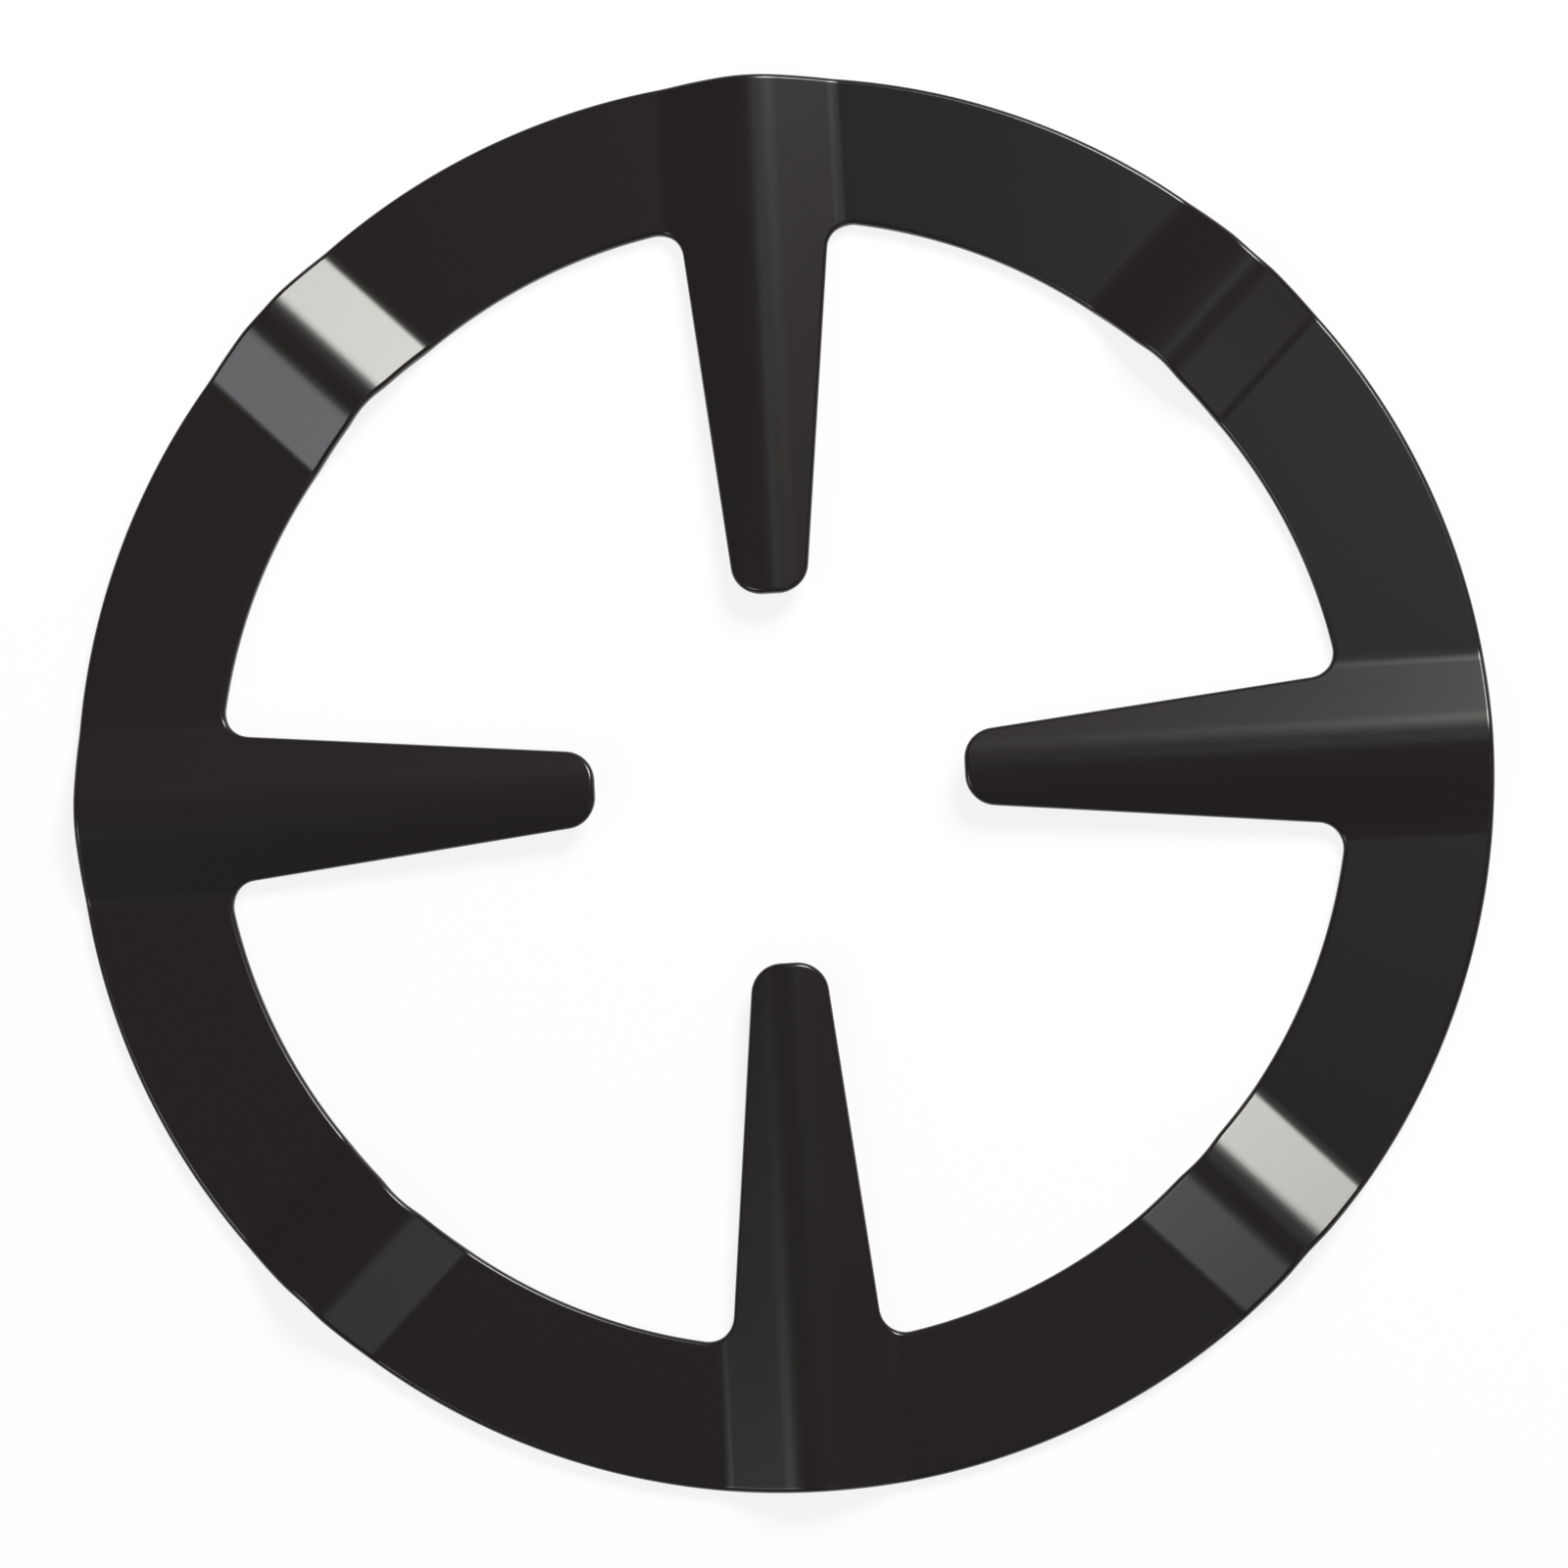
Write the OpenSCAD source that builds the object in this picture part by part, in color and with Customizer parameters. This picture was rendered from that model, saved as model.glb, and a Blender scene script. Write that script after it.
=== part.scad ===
// Reducer ring for a stove burner: a small pot stands on it, over a pan support made for larger ones.
// One piece of enamelled sheet steel: a flat band, and fingers that point at the centre.
// Raised bends stiffen it, one along each finger and a plain one across the band between each two.
// The origin is the centre of the ring, on the plane that it rests on.

/* [Band] */
// Outside diameter of the ring
outer_d = 140; // [110:1:200]
// Width of the flat band, from its outer to its inner edge
band_w = 14.3; // [10:0.1:22]
// Thickness of the sheet
sheet_t = 1.5; // [1:0.1:2]
// The edges are not quite round: from bend to bend they are arcs centred this far off, towards the finger
sector_shift = 1; // [0.4:0.1:2]

/* [Fingers] */
// Number of fingers, and of plain bends between them
finger_count = 4; // [3:1:6]
// Free distance between the tips of opposite fingers
tip_gap = 36.5; // [30:0.1:56]
// Width of a finger at its tip, before the corners are rounded
tip_w = 7.1; // [6.5:0.1:9]
// Width that a finger has grown to at the inner edge of the band
root_w = 15; // [10:0.5:16]
// Radius of the two corners of a tip
tip_corner_r = 3; // [1:0.1:3]
// Radius of the fillet between a finger and the band
root_fillet_r = 2.5; // [1:0.1:6]

/* [Bends] */
// Height of a bend's crest over the flat band
bend_rise = 2.6; // [1.5:0.1:4]
// Width of a bend, between the lines where its flanks would meet the flat band
bend_w = 16.2; // [14:0.1:20]
// Radius of the crest, on the upper face
crest_r = 6.5; // [3:0.1:7]
// Radius of the hollow at the foot of a flank, on the upper face
foot_r = 1.2; // [0.5:0.1:3]

/* [Draw-in of the edges at a plain bend] */
// Width of the stretch of edge that bending has drawn in
draw_w = 5.5; // [3:0.1:6]
// Depth of it in the outer edge
outer_draw = 0.1; // [0.1:0.05:0.5]
// Depth of it in the inner edge
inner_draw = 0.2; // [0.1:0.05:0.5]

/* [Hidden] */
$fn = 180;
// Round stretches reach this far past their tangent lines, so that they cross them cleanly.
overlap = 0.0002;
// Cutting and trimming bodies go this far past the sheet.
clearance = 1;

outer_r = outer_d / 2;
inner_r = outer_r - band_w;
tip_y = tip_gap / 2;
pitch = 360 / finger_count;

// A finger's side runs from the tip to the inner edge, and leans off its axis by this angle.
side_lean = atan2((root_w - tip_w) / 2, inner_r - tip_y);
side_along = [sin(side_lean), cos(side_lean)];
side_out = [cos(side_lean), -sin(side_lean)];
tip_corner = [tip_w / 2 - tip_corner_r * (1 - sin(side_lean)) / cos(side_lean), tip_y + tip_corner_r];

// The centre of a root fillet is its radius away from the side, and as far from the inner edge's arc.
sector_centre = [0, sector_shift];
fillet_off = ([tip_w / 2, tip_y] - sector_centre) * side_out + root_fillet_r;
fillet_reach = sqrt(pow(inner_r - sector_shift - root_fillet_r, 2) - pow(fillet_off, 2));
fillet_dir = (fillet_off * side_out + fillet_reach * side_along) / norm([fillet_off, fillet_reach]);
fillet_centre = sector_centre + (inner_r - sector_shift - root_fillet_r) * fillet_dir;

// The flank is the common tangent of the crest's arc and the foot of the bend.
crest_z = sheet_t + bend_rise - crest_r;
crest_drop = bend_rise - crest_r;
flank_lean = asin(crest_r / norm([bend_w / 2, crest_drop])) + atan2(crest_drop, bend_w / 2);
flank_up = [sin(flank_lean), cos(flank_lean)];
foot = [bend_w / 2 + foot_r * tan(flank_lean / 2), sheet_t + foot_r];

// A copy for each finger, or for each plain bend halfway between them
module at_fingers() {
    for (i = [0 : finger_count - 1]) rotate(i * pitch - 90) children();
}

module at_plain_bends() {
    rotate(pitch / 2) at_fingers() children();
}

module mirrored() {
    children();
    mirror([1, 0]) children();
}

// Half of a finger's outline, with the finger pointing down the Y axis and its root in the band
module half_finger() {
    root_side = fillet_centre - root_fillet_r * side_out;
    root_band = fillet_centre + (root_fillet_r + clearance) * fillet_dir;
    difference() {
        polygon([
            [0, tip_y], [tip_corner[0], tip_y], tip_corner + tip_corner_r * side_out,
            root_side, fillet_centre, root_band, [0, root_band[1]]
        ]);
        translate(fillet_centre) circle(root_fillet_r + overlap);
    }
    translate(tip_corner) circle(tip_corner_r + overlap);
}

// What an edge of the band encloses, where it has this radius at the fingers
module inside_edge(r) {
    at_fingers() translate(sector_centre) circle(r - sector_shift);
}

// Where such an edge crosses a plain bend
function at_bend(r) = sector_shift * cos(pitch / 2)
    + sqrt(pow(r - sector_shift, 2) - pow(sector_shift * sin(pitch / 2), 2));

// Curvature of an arc that is this deep over the width drawn in
function curvature(depth) = 8 * depth / pow(draw_w, 2);

// A shallow arc in each edge of the band, where a plain bend has drawn it in
module draw_in() {
    outer_arc = 1 / (curvature(outer_draw) - 1 / outer_r);
    inner_arc = 1 / (curvature(inner_draw) + 1 / inner_r);
    translate([0, at_bend(outer_r) - outer_draw + outer_arc]) circle(outer_arc);
    translate([0, at_bend(inner_r) + inner_draw - inner_arc]) circle(inner_arc);
}

// The ring seen from above
module outline() {
    difference() {
        inside_edge(outer_r);
        inside_edge(inner_r);
        at_plain_bends() draw_in();
    }
    at_fingers() mirrored() half_finger();
}

// Everything below one face of a bend, which lies this deep under the upper face
module below_face(depth) {
    crest_arc = crest_r - depth;
    foot_arc = foot_r + depth;
    crest_end = [0, crest_z] + crest_arc * flank_up;
    flank_end = foot - foot_arc * flank_up;
    floor_z = -crest_r;
    difference() {
        union() {
            polygon([
                [foot[0], floor_z], [foot[0], foot[1] - foot_arc], flank_end, crest_end,
                [-crest_end[0], crest_end[1]], [-flank_end[0], flank_end[1]],
                [-foot[0], foot[1] - foot_arc], [-foot[0], floor_z]
            ]);
            translate([0, crest_z]) circle(crest_arc + overlap);
        }
        mirrored() translate(foot) circle(foot_arc + overlap);
    }
}

// A bend's section drawn out along it, from this distance off the centre to past the outer edge
module along_bend(from) {
    translate([0, outer_r + clearance, 0]) rotate([90, 0, 0])
        linear_extrude(outer_r + clearance - from) children();
}

module bends() {
    at_fingers() along_bend(tip_y - clearance) children();
    at_plain_bends() along_bend(inner_r - clearance) children();
}

module reducer_ring() {
    color("#2b2728") intersection() {
        linear_extrude(sheet_t + bend_rise + clearance) outline();
        difference() {
            union() {
                cylinder(h = sheet_t, r = outer_r + clearance);
                bends() below_face(0);
            }
            bends() below_face(sheet_t);
        }
    }
}

reducer_ring();
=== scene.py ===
"""A stove reducer ring of enamelled sheet steel: its bent sheet, its enamel, and the studio around it."""
import math

import bmesh
import bpy
from bpy.props import FloatProperty, FloatVectorProperty, PointerProperty
from mathutils import Matrix, Vector


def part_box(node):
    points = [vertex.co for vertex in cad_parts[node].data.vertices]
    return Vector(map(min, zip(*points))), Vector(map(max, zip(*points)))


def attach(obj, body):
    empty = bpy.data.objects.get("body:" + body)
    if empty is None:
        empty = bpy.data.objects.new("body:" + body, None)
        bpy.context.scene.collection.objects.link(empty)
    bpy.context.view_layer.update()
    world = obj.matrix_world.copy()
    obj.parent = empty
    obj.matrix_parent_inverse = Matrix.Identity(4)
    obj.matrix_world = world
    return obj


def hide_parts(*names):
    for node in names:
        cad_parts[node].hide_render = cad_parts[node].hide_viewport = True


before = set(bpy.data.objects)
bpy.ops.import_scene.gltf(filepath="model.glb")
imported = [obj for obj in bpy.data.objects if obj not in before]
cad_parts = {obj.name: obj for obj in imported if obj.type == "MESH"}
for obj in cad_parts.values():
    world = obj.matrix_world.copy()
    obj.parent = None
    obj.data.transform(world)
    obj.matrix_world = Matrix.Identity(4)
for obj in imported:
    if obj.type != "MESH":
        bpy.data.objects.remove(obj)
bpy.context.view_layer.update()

bl_info = {
    "name": "Stove Reducer Ring",
    "version": (1, 0, 0),
    "blender": (4, 5, 0),
    "location": "3D Viewport > Sidebar > Reducer Ring",
    "description": "Makes an enamelled stove reducer ring and a plain studio for it",
    "category": "Add Mesh",
}

MM = 0.001
NODE = "reducer_ring"
RING_LOW, RING_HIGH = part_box(NODE)

FINGERS = 4
BEND_PITCH = math.pi / FINGERS
ARC_STEP = math.radians(0.75)
CORNER_STEPS = 10
EDGE_STEPS = 4
CREST_STEPS = 8
FOOT_STEPS = 5
DRAW_REACH = 0.6

PHOTO_SIZE = 1600


def length(name, description, default):
    return FloatProperty(name=name, description=description, default=default, min=0.0,
                         unit="LENGTH", subtype="DISTANCE", precision=5)


def colour(name, description, default):
    return FloatVectorProperty(name=name, description=description, default=default,
                               min=0.0, max=1.0, size=3, subtype="COLOR")


def level(name, description, default):
    return FloatProperty(name=name, description=description, default=default, min=0.0)


def angle(name, description, degrees):
    return FloatProperty(name=name, description=description, default=math.radians(degrees),
                         unit="ROTATION", subtype="ANGLE")


class RingSizes(bpy.types.PropertyGroup):
    """The sizes of the bent sheet."""
    outer_radius: length("Outer radius", "Radius of the ring's outer edge", RING_HIGH.x)
    crest_height: length("Crest height", "Height of the bends' crests over the plane it rests on", RING_HIGH.z)
    thickness: length("Sheet thickness", "Thickness of the steel sheet", 1.5 * MM)
    band_width: length("Band width", "Width of the flat band", 14.3 * MM)
    sector_shift: length("Sector shift", "How far off the ring's centre the arcs of its edges are centred",
                         1.0 * MM)
    tip_gap: length("Tip gap", "Free distance between the tips of opposite fingers", 36.5 * MM)
    tip_width: length("Tip width", "Width of a finger at its tip", 7.1 * MM)
    root_width: length("Root width", "Width of a finger at the band's inner edge", 15.0 * MM)
    tip_corner: length("Tip corner", "Radius of the corners of a fingertip", 3.0 * MM)
    root_fillet: length("Root fillet", "Radius between a finger and the band", 2.5 * MM)
    bend_width: length("Bend width", "Width between the lines where the flanks meet the flat", 17.0 * MM)
    crest_radius: length("Crest radius", "Radius of a bend's crest on the upper face", 8.2 * MM)
    foot_radius: length("Foot radius", "Radius at the foot of a flank on the upper face", 4.0 * MM)
    edge_radius: length("Edge radius", "Rounding of the cut edges under the enamel", 0.5 * MM)
    draw_width: length("Draw-in width", "Width of edge that a plain bend has drawn in", 5.5 * MM)
    outer_draw: length("Outer draw-in", "Depth of the draw-in of the outer edge", 0.1 * MM)
    inner_draw: length("Inner draw-in", "Depth of the draw-in of the inner edge", 0.2 * MM)


class EnamelLook(bpy.types.PropertyGroup):
    """The colour and gloss of the enamel."""
    enamel: colour("Enamel", "Black enamel", (0.0080, 0.0062, 0.0058))
    gloss: level("Roughness", "Roughness of the enamel", 0.24)


class StageLook(bpy.types.PropertyGroup):
    """Where the camera stands and how the studio is lit."""
    camera_distance: length("Camera distance", "From the ring's centre to the camera", 827 * MM)
    camera_tilt: angle("Camera tilt", "How far the camera leans off the ring's axis", 6.83)
    camera_side: angle("Camera side", "The side that it leans to, from the picture's right", -49.75)
    ring_turn: angle("Ring turn", "How far the ring is turned in the picture", 3.18)
    pixel: length("Pixel", "What a pixel of the photograph covers at the ring's centre", 0.09663 * MM)
    key: level("Key light", "Radiance of the large soft light", 21.0)
    fill: level("Fill light", "Radiance of the weaker light opposite", 4.2)
    card: level("Cards", "Radiance of the dim cards at the side of the camera", 0.8)
    room: level("Room light", "Level of the room all round", 0.2)


class Bend:
    """The section that all the bends share, on the layer of the sheet that keeps its plan.

    On a flank a cut edge is square to the sheet and rounded, and the layer at this depth
    below the upper face is where the edge stands just as far out as the plan says.
    """

    def __init__(self, sizes):
        self.rise = sizes.crest_height - sizes.thickness
        half = sizes.bend_width / 2
        drop = self.rise - sizes.crest_radius
        self.lean = math.asin(sizes.crest_radius / math.hypot(half, drop)) + math.atan2(drop, half)
        corner = math.sin(self.lean) + math.cos(self.lean) - 1
        self.depth = sizes.edge_radius * corner / math.sin(self.lean)
        self.half = half - self.depth * math.tan(self.lean / 2)
        self.crest_radius = sizes.crest_radius - self.depth
        self.foot_radius = sizes.foot_radius + self.depth
        self.crest_end = self.crest_radius * math.sin(self.lean)
        self.foot_end = self.half + self.foot_radius * math.tan(self.lean / 2)
        self.foot_start = self.foot_end - self.foot_radius * math.sin(self.lean)

    def cuts(self):
        """Distances from the crest line at which the mesh needs an edge."""
        crest = [self.crest_radius * math.sin(self.lean * i / CREST_STEPS) for i in range(CREST_STEPS + 1)]
        foot = [self.foot_end - self.foot_radius * math.sin(self.lean * i / FOOT_STEPS)
                for i in range(FOOT_STEPS + 1)]
        return crest + foot

    def lift(self, across):
        """How high the layer stands over its flat part at a distance from the crest line, and its slope there."""
        if across >= self.foot_end:
            return 0.0, 0.0
        if across > self.foot_start:
            reach = self.foot_end - across
            depth = math.sqrt(self.foot_radius ** 2 - reach ** 2)
            return self.foot_radius - depth, -reach / depth
        if across > self.crest_end:
            return (self.half - across) * math.tan(self.lean), -math.tan(self.lean)
        depth = math.sqrt(self.crest_radius ** 2 - across ** 2)
        return self.rise - self.crest_radius + depth, -across / depth


def arc(bm, start, centre, turn, steps):
    """Spins a new vertex round a centre and returns the arc's vertices in order."""
    first = bm.verts.new(start)
    bmesh.ops.spin(bm, geom=[first], cent=centre, axis=(0, 0, 1), angle=turn, steps=steps)
    chain = [first]
    while True:
        ahead = [e.other_vert(chain[-1]) for e in chain[-1].link_edges]
        ahead = [v for v in ahead if v not in chain[-2:]]
        if not ahead:
            return chain
        chain.append(ahead[0])


def edge_arc(bm, centre, radius, start):
    """The arc of an edge of the band, from this direction to the crest of the plain bend."""
    end = BEND_PITCH + math.asin(centre.x * math.sin(BEND_PITCH) / radius)
    first = centre + Vector((radius * math.cos(start), radius * math.sin(start), 0))
    return arc(bm, first, centre, end - start, round((end - start) / ARC_STEP))


def wedge(bm, sizes):
    """The eighth of the ring from a finger's axis, along +X, to the crest of the plain bend beside it."""
    outer = sizes.outer_radius
    inner = outer - sizes.band_width
    tip = sizes.tip_gap / 2
    lean = math.atan2((sizes.root_width - sizes.tip_width) / 2, inner - tip)
    along = Vector((math.cos(lean), math.sin(lean), 0))
    out = Vector((-math.sin(lean), math.cos(lean), 0))

    corner_r = sizes.tip_corner
    corner = Vector((tip + corner_r, sizes.tip_width / 2 - corner_r * (1 - math.sin(lean)) / math.cos(lean), 0))
    shift = sizes.sector_shift
    centre = Vector((shift, 0, 0))
    fillet_r = sizes.root_fillet
    off = (Vector((tip, sizes.tip_width / 2, 0)) - centre).dot(out) + fillet_r
    fillet = out * off + along * math.sqrt((inner - shift - fillet_r) ** 2 - off ** 2)
    fillet_turn = math.atan2(fillet.y, fillet.x)

    tip_arc = arc(bm, corner + Vector((-corner_r, 0, 0)), corner, lean - math.pi / 2, CORNER_STEPS)
    root_arc = arc(bm, centre + fillet - out * fillet_r, centre + fillet,
                   math.pi / 2 + lean - fillet_turn, CORNER_STEPS)
    inner_arc = edge_arc(bm, centre, inner - shift, fillet_turn)
    outer_arc = edge_arc(bm, centre, outer - shift, 0)
    tip_middle = bm.verts.new((tip, 0, 0))

    chain = [tip_middle] + tip_arc + root_arc + inner_arc + outer_arc[::-1]
    for a, b in zip(chain, chain[1:] + chain[:1]):
        if not bm.edges.get((a, b)):
            bm.edges.new((a, b))
    bmesh.ops.remove_doubles(bm, verts=bm.verts[:], dist=0.001 * MM)
    bmesh.ops.contextual_create(bm, geom=bm.edges[:])


def flat_blank(bm, sizes):
    """The whole ring as a flat plate with rounded edges, its lower face at z = 0."""
    wedge(bm, sizes)
    bmesh.ops.mirror(bm, geom=bm.verts[:] + bm.edges[:] + bm.faces[:], axis="Y", merge_dist=0.001 * MM)
    quarter = bm.verts[:] + bm.edges[:] + bm.faces[:]
    for i in range(1, FINGERS):
        copy = bmesh.ops.duplicate(bm, geom=quarter)["geom"]
        bmesh.ops.rotate(bm, verts=[g for g in copy if isinstance(g, bmesh.types.BMVert)],
                         cent=(0, 0, 0), matrix=Matrix.Rotation(2 * BEND_PITCH * i, 3, "Z"))
    bmesh.ops.remove_doubles(bm, verts=bm.verts[:], dist=0.001 * MM)
    grown = bmesh.ops.extrude_face_region(bm, geom=bm.faces[:])["geom"]
    bmesh.ops.translate(bm, verts=[g for g in grown if isinstance(g, bmesh.types.BMVert)],
                        vec=(0, 0, sizes.thickness))
    bmesh.ops.recalc_face_normals(bm, faces=bm.faces[:])
    rims = [e for e in bm.edges if e.calc_face_angle(0) > math.radians(60)]
    bmesh.ops.bevel(bm, geom=rims, offset=sizes.edge_radius, offset_type="OFFSET", segments=EDGE_STEPS,
                    profile=0.5, affect="EDGES", material=-1)


def cut_for_bends(bm, bend):
    """Gives the plate an edge along every line where its section turns."""
    for i in range(FINGERS):
        side = Matrix.Rotation(BEND_PITCH * i, 3, "Z") @ Vector((0, 1, 0))
        for cut in bend.cuts():
            for place in {cut, -cut}:
                bmesh.ops.bisect_plane(bm, geom=bm.verts[:] + bm.edges[:] + bm.faces[:], dist=0.0005 * MM,
                                       plane_co=side * place, plane_no=side)


def fold(bm, sizes, bend):
    """Bends the flat plate: each point keeps its distance from the layer, square to it."""
    outer = sizes.outer_radius - sizes.sector_shift * (1 - math.cos(BEND_PITCH))
    for v in bm.verts:
        turn = round(math.atan2(v.co.y, v.co.x) / BEND_PITCH)
        axis = Matrix.Rotation(BEND_PITCH * turn, 3, "Z")
        side = axis @ Vector((0, 1, 0))
        offset = side.dot(v.co)
        across = abs(offset)
        layer = Vector((v.co.x, v.co.y, sizes.thickness - bend.depth))
        above = v.co.z - layer.z
        if turn % 2:
            along = axis @ Vector((1, 0, 0))
            reach = across / (DRAW_REACH * sizes.draw_width)
            share = (outer - along.dot(v.co)) / sizes.band_width
            pull = sizes.inner_draw * share - sizes.outer_draw * (1 - share)
            layer += along * pull * max(0, 1 - reach ** 2) ** 2
        rise, slope = bend.lift(across)
        layer.z += rise
        normal = Vector((0, 0, 1)) + side * math.copysign(slope, offset)
        v.co = layer + normal.normalized() * above


def new_object(name, bm, material):
    mesh = bpy.data.meshes.new(name)
    bm.to_mesh(mesh)
    bm.free()
    mesh.shade_smooth()
    mesh.materials.append(material)
    piece = bpy.data.objects.new(name, mesh)
    bpy.context.scene.collection.objects.link(piece)
    return piece


def enamel_material(look):
    material = bpy.data.materials.new("worn_enamel")
    material.use_nodes = True
    shader = material.node_tree.nodes["Principled BSDF"]
    shader.inputs["Base Color"].default_value = (*look.enamel, 1)
    shader.inputs["Roughness"].default_value = look.gloss
    return material


class MESH_OT_reducer_ring(bpy.types.Operator):
    """Make the ring: a blank with rounded edges, folded along its bends, in black enamel"""
    bl_idname = "mesh.reducer_ring_add"
    bl_label = "Reducer Ring"

    def execute(self, context):
        sizes = context.scene.ring_sizes
        bend = Bend(sizes)
        bm = bmesh.new()
        flat_blank(bm, sizes)
        cut_for_bends(bm, bend)
        fold(bm, sizes, bend)
        ring = new_object("enamelled_ring", bm, enamel_material(context.scene.enamel_look))
        weigh = ring.modifiers.new("Even shading", "WEIGHTED_NORMAL")
        weigh.weight = 100
        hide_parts(NODE)
        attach(ring, "root")
        return {"FINISHED"}


class PhotoCamera:
    """The photograph's view: where the camera stands, and which way its picture's axes point."""

    def __init__(self, look):
        side = look.camera_side - look.ring_turn
        self.back = Vector((math.sin(look.camera_tilt) * math.cos(side),
                            math.sin(look.camera_tilt) * math.sin(side), math.cos(look.camera_tilt)))
        right = Vector((math.cos(look.ring_turn), -math.sin(look.ring_turn), 0))
        self.up = self.back.cross(right).normalized()
        self.right = self.up.cross(self.back)
        self.place = self.back * look.camera_distance
        self.focal_pixels = look.camera_distance / look.pixel
        self.ring_centre = Vector((797.5, 796.4))

    def matrix(self):
        """The camera's place, turned a little so that the ring's centre shows where the photograph has it."""
        middle = (PHOTO_SIZE - 1) / 2
        aside = (self.right * (middle - self.ring_centre.x) - self.up * (middle - self.ring_centre.y))
        back = (self.back * self.focal_pixels - aside).normalized()
        right = self.up.cross(back).normalized()
        up = back.cross(right)
        turned = Matrix((right, up, back)).transposed().to_4x4()
        return Matrix.Translation(self.place) @ turned


class SCENE_OT_ring_stage(bpy.types.Operator):
    """Make the stage: a white floor, a large soft light, a weaker one opposite, and the camera"""
    bl_idname = "scene.ring_stage_add"
    bl_label = "Stage"

    def execute(self, context):
        look = context.scene.stage_look
        self.add_camera(context, look)
        self.add_floor(context)
        self.add_world(context, look)
        self.add_panel(context, look, "key_light", 60, 43.5, 1.0, 0.46, look.key, (1.0, 0.99, 0.94))
        self.add_panel(context, look, "fill_light", -149, 40, 1.0, 0.42, look.fill, (0.96, 0.94, 1.0))
        self.add_panel(context, look, "low_card", -44, 35, 1.0, 0.4, look.card, (1.0, 0.95, 0.97))
        self.add_panel(context, look, "high_card", 60, 12, 1.0, 0.2, look.card, (0.8, 0.9, 1.0))
        context.scene.view_settings.view_transform = "Standard"
        return {"FINISHED"}

    def add_camera(self, context, look):
        view = PhotoCamera(look)
        data = bpy.data.cameras.new("camera")
        data.sensor_width = 36
        data.lens = 36 * view.focal_pixels / PHOTO_SIZE
        camera = bpy.data.objects.new("camera", data)
        camera.matrix_world = view.matrix()
        context.scene.collection.objects.link(camera)
        context.scene.camera = camera

    def add_floor(self, context):
        bm = bmesh.new()
        bmesh.ops.create_grid(bm, x_segments=1, y_segments=1, size=3.0)
        material = bpy.data.materials.new("floor")
        material.use_nodes = True
        nodes, links = material.node_tree.nodes, material.node_tree.links
        shader = nodes["Principled BSDF"]
        shader.inputs["Base Color"].default_value = (0.9, 0.9, 0.9, 1)
        shader.inputs["Roughness"].default_value = 0.9
        shader.inputs["Specular IOR Level"].default_value = 0
        glow = nodes.new("ShaderNodeEmission")
        mix = nodes.new("ShaderNodeMixShader")
        path = nodes.new("ShaderNodeLightPath")
        seen = nodes.new("ShaderNodeMath")
        seen.operation = "ADD"
        seen.use_clamp = True
        links.new(path.outputs["Is Camera Ray"], seen.inputs[0])
        links.new(path.outputs["Is Glossy Ray"], seen.inputs[1])
        scale = nodes.new("ShaderNodeMath")
        scale.operation = "MULTIPLY"
        links.new(seen.outputs[0], scale.inputs[0])
        scale.inputs[1].default_value = 0.85
        links.new(scale.outputs[0], mix.inputs[0])
        links.new(shader.outputs[0], mix.inputs[1])
        links.new(glow.outputs[0], mix.inputs[2])
        links.new(mix.outputs[0], nodes["Material Output"].inputs[0])
        floor = new_object("floor", bm, material)

    def add_world(self, context, look):
        world = bpy.data.worlds.new("room")
        world.use_nodes = True
        world.node_tree.nodes["Background"].inputs["Color"].default_value = (1, 0.93, 0.92, 1)
        world.node_tree.nodes["Background"].inputs["Strength"].default_value = look.room
        context.scene.world = world

    def add_panel(self, context, look, name, side, lean, distance, size, radiance, tint):
        side = math.radians(side) - look.ring_turn
        lean = math.radians(lean)
        back = Vector((math.sin(lean) * math.cos(side), math.sin(lean) * math.sin(side), math.cos(lean)))
        data = bpy.data.lights.new(name, "AREA")
        data.shape = "DISK"
        data.size = size
        data.energy = radiance * math.pi * (size / 2) ** 2 * math.pi
        data.color = tint
        lamp = bpy.data.objects.new(name, data)
        lamp.matrix_world = Matrix.Translation(back * distance) @ back.to_track_quat("Z", "Y").to_matrix().to_4x4()
        context.scene.collection.objects.link(lamp)


class VIEW3D_PT_reducer_ring(bpy.types.Panel):
    """Lists the sizes and looks, and the operators that make the ring and its stage"""
    bl_label = "Reducer Ring"
    bl_space_type = "VIEW_3D"
    bl_region_type = "UI"
    bl_category = "Reducer Ring"

    def draw(self, context):
        for heading, group in (("Sizes", context.scene.ring_sizes), ("Enamel", context.scene.enamel_look),
                               ("Stage", context.scene.stage_look)):
            box = self.layout.box()
            box.label(text=heading)
            for name in group.__annotations__:
                box.prop(group, name)
        for operator in STEPS:
            self.layout.operator(operator.bl_idname)


GROUPS = {"ring_sizes": RingSizes, "enamel_look": EnamelLook, "stage_look": StageLook}
STEPS = (SCENE_OT_ring_stage, MESH_OT_reducer_ring)
CLASSES = (*GROUPS.values(), *STEPS, VIEW3D_PT_reducer_ring)


def register():
    for cls in CLASSES:
        bpy.utils.register_class(cls)
    for name, group in GROUPS.items():
        setattr(bpy.types.Scene, name, PointerProperty(type=group))


def unregister():
    for name in GROUPS:
        delattr(bpy.types.Scene, name)
    for cls in reversed(CLASSES):
        bpy.utils.unregister_class(cls)


def main():
    register()
    bpy.ops.scene.ring_stage_add()
    bpy.ops.mesh.reducer_ring_add()


if __name__ == "__main__":
    main()
